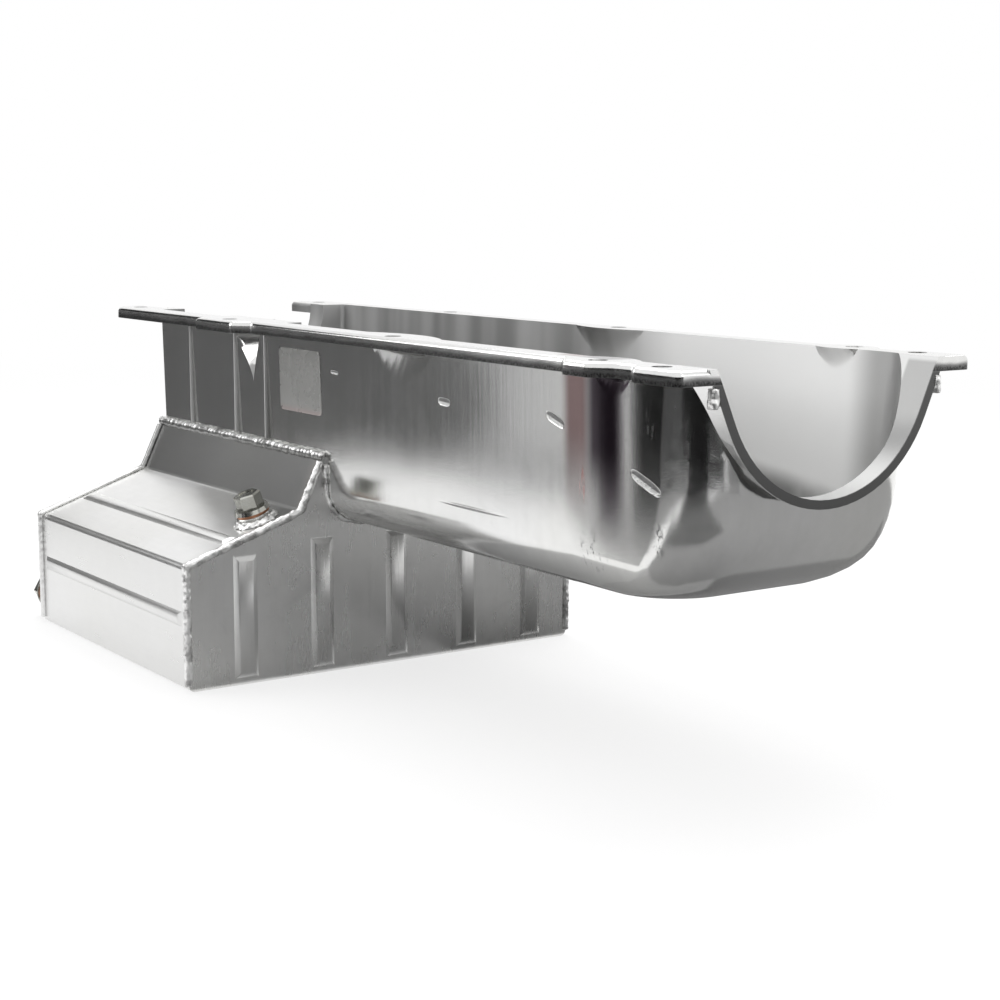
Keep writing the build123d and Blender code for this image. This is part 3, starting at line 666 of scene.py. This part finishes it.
def stage_plane(name, size, at, turn, mat):
    bm = bmesh.new()
    w, h = size[0] / 2, size[1] / 2
    bm.faces.new([bm.verts.new(c) for c in ((-w, -h, 0), (w, -h, 0), (w, h, 0), (-w, h, 0))])
    mesh = bpy.data.meshes.new(name)
    bm.to_mesh(mesh)
    bm.free()
    mesh.materials.append(mat)
    o = bpy.data.objects.new(name, mesh)
    o.location = at
    o.rotation_euler = turn
    scene.collection.objects.link(o)
    return o


def seen_rays(tree):
    """1 on the rays that show a background: camera, glossy and transmission rays."""
    path = tree.nodes.new("ShaderNodeLightPath")
    seen = path.outputs["Is Camera Ray"]
    for ray in ("Is Glossy Ray", "Is Transmission Ray"):
        n = tree.nodes.new("ShaderNodeMath")
        n.operation = "MAXIMUM"
        tree.links.new(seen, n.inputs[0])
        tree.links.new(path.outputs[ray], n.inputs[1])
        seen = n.outputs[0]
    return seen


FLOOR_SIZE = (14, 14)
FLOOR_NEAR, FLOOR_FAR = 0.8, 2.4    # the floor turns plain white between these distances
FLOOR_GLOW = 0.70                   # how much of it is white near the pan


def floor_paint():
    """Pale floor that keeps the pan's shadow and fades to the white background."""
    mat = bpy.data.materials.new("floor_paint")
    mat.use_nodes = True
    tree = mat.node_tree
    tree.nodes.clear()
    out = tree.nodes.new("ShaderNodeOutputMaterial")
    diffuse = tree.nodes.new("ShaderNodeBsdfDiffuse")
    diffuse.inputs[0].default_value = grey(0.95)
    emit = tree.nodes.new("ShaderNodeEmission")
    emit.inputs[0].default_value = WHITE
    mix = tree.nodes.new("ShaderNodeMixShader")
    place = tree.nodes.new("ShaderNodeTexCoord")
    far = tree.nodes.new("ShaderNodeVectorMath")
    far.operation = "LENGTH"
    tree.links.new(place.outputs["Object"], far.inputs[0])
    fade = tree.nodes.new("ShaderNodeMapRange")
    fade.interpolation_type = "SMOOTHSTEP"
    for i, v in enumerate((FLOOR_NEAR, FLOOR_FAR, FLOOR_GLOW, 1.0)):
        fade.inputs[i + 1].default_value = v
    tree.links.new(far.outputs["Value"], fade.inputs[0])
    share = tree.nodes.new("ShaderNodeMath")
    share.operation = "MULTIPLY"
    tree.links.new(seen_rays(tree), share.inputs[0])
    tree.links.new(fade.outputs[0], share.inputs[1])
    tree.links.new(share.outputs[0], mix.inputs[0])
    tree.links.new(diffuse.outputs[0], mix.inputs[1])
    tree.links.new(emit.outputs[0], mix.inputs[2])
    tree.links.new(mix.outputs[0], out.inputs[0])
    return mat


stage_plane("floor", FLOOR_SIZE, (0, 0, FLOOR_Z), (0, 0, 0), floor_paint())

# Cards beside the set and on the floor, seen only as reflections

BODY_CORNER = (0.19, -0.07)
UPRIGHT_CARDS = (
    # name, direction in degrees, distance, width, height, colour, point that it faces
    ("card_left", -155.0, 0.75, 0.605, 0.32, grey(0.09), (-0.111, 0.019)),
    ("card_behind", -155.0, 0.80, 0.36, 0.56, grey(0.02), (-0.098, 0.107)),
    ("card_left_end", -155.0, 0.76, 0.66, 0.32, grey(0.48), (0.165, -0.5505)),
    ("card_mid", -122.0, 0.64, 0.38, 0.26, grey(0.50), BODY_CORNER),
    ("card_near_a", -124.0, 0.60, 0.120, 0.26, (0.02, 0.008, 0.02, 1), BODY_CORNER),
    ("card_near_b", -105.5, 0.60, 0.175, 0.26, grey(0.002), BODY_CORNER),
    ("card_strip", -75.0, 0.64, 0.62, 0.26, grey(0.05), BODY_CORNER),
    ("card_near_c", -28.0, 0.60, 0.70, 0.26, grey(0.002), BODY_CORNER),
    ("card_front", 17.0, 0.80, 0.44, 0.30, grey(0.07), (0.225, -0.05)),
)
# card_under and the card_plate pair are painted shade: in the metal's reflections they take the
# place of the pan's shadow on the floor
FLOOR_CARDS = (
    # name, turn in degrees, middle, size, colour
    ("card_under", 34.0, (0.62, 0.36), (1.36, 0.95), grey(0.28)),
    ("card_plate_a", 0.0, (0.06, -0.10), (0.278, 0.24), grey(0.46)),
    ("card_plate_b", 0.0, (0.06, 0.18), (0.278, 0.32), grey(0.15)),
    ("card_corner_floor", -25.0, (0.52, -0.26), (0.44, 0.30), grey(0.08)),
    ("card_near_floor", 0.0, (-0.15, -0.78), (1.50, 0.66), grey(0.26)),
)


def card(name, size, at, turn, colour):
    mat = bpy.data.materials.new(name)
    mat.use_nodes = True
    bsdf = mat.node_tree.nodes["Principled BSDF"]
    bsdf.inputs["Base Color"].default_value = colour
    bsdf.inputs["Roughness"].default_value = 0.9
    bsdf.inputs["Specular IOR Level"].default_value = 0.0
    o = stage_plane(name, size, at, turn, mat)
    o.visible_camera = False
    o.visible_diffuse = False
    o.visible_shadow = False


for name, angle, distance, width, height, colour, (cx, cy) in UPRIGHT_CARDS:
    a = math.radians(angle)
    at = (cx + distance * math.cos(a), cy + distance * math.sin(a), PAN_BOTTOM_Z + height / 2)
    card(name, (width, height), at, (math.pi / 2, 0, a + math.pi / 2), colour)

for name, angle, (cx, cy), size, colour in FLOOR_CARDS:
    card(name, size, (cx, cy, FLOOR_CARD_Z), (0, 0, math.radians(angle)), colour)

# World: white where it is seen, a little less as light on matt surfaces

WORLD_LIGHT = 0.92

world = bpy.data.worlds.new("studio")
scene.world = world
world.use_nodes = True
background = world.node_tree.nodes["Background"]
background.inputs[0].default_value = WHITE
level = world.node_tree.nodes.new("ShaderNodeMapRange")
level.inputs["To Min"].default_value = WORLD_LIGHT
level.inputs["To Max"].default_value = 1.0
world.node_tree.links.new(seen_rays(world.node_tree), level.inputs[0])
world.node_tree.links.new(level.outputs[0], background.inputs[1])


def lamp(name, at, target, size, watts):
    data = bpy.data.lights.new(name, "AREA")
    data.shape = "RECTANGLE"
    data.size, data.size_y = size
    data.energy = watts
    o = bpy.data.objects.new(name, data)
    o.location = at
    o.rotation_euler = (Vector(target) - Vector(at)).to_track_quat("-Z", "Y").to_euler()
    scene.collection.objects.link(o)


lamp("top", (-0.35, 0.35, 1.1), (0, 0, 0), (1.3, 1.3), 12.0)
lamp("right", (1.6, 0.7, 0.9), (0.1, 0, 0), (0.9, 0.9), 3.0)
lamp("left", (-0.9, -1.0, 0.55), (0.12, 0.06, -0.05), (0.9, 0.9), 4.5)

# Camera, solved from the photo's straight edges

CAMERA_AT = (0.79705, -0.55475, 0.0620)
CAMERA_RIGHT = Vector((0.56645, 0.82408, 0.00445))
CAMERA_DOWN = Vector((0.12898, -0.08332, -0.98814))
CAMERA_AHEAD = Vector((-0.81394, 0.56031, -0.15349))

camera = bpy.data.objects.new("camera", bpy.data.cameras.new("camera"))
turn = Matrix((CAMERA_RIGHT, -CAMERA_DOWN, -CAMERA_AHEAD)).transposed()
camera.matrix_world = Matrix.Translation(CAMERA_AT) @ turn.to_4x4()
camera.data.lens = 67.01
camera.data.sensor_width = 36.0
camera.data.clip_start = 0.01
scene.collection.objects.link(camera)
scene.camera = camera
scene.view_settings.view_transform = "Standard"
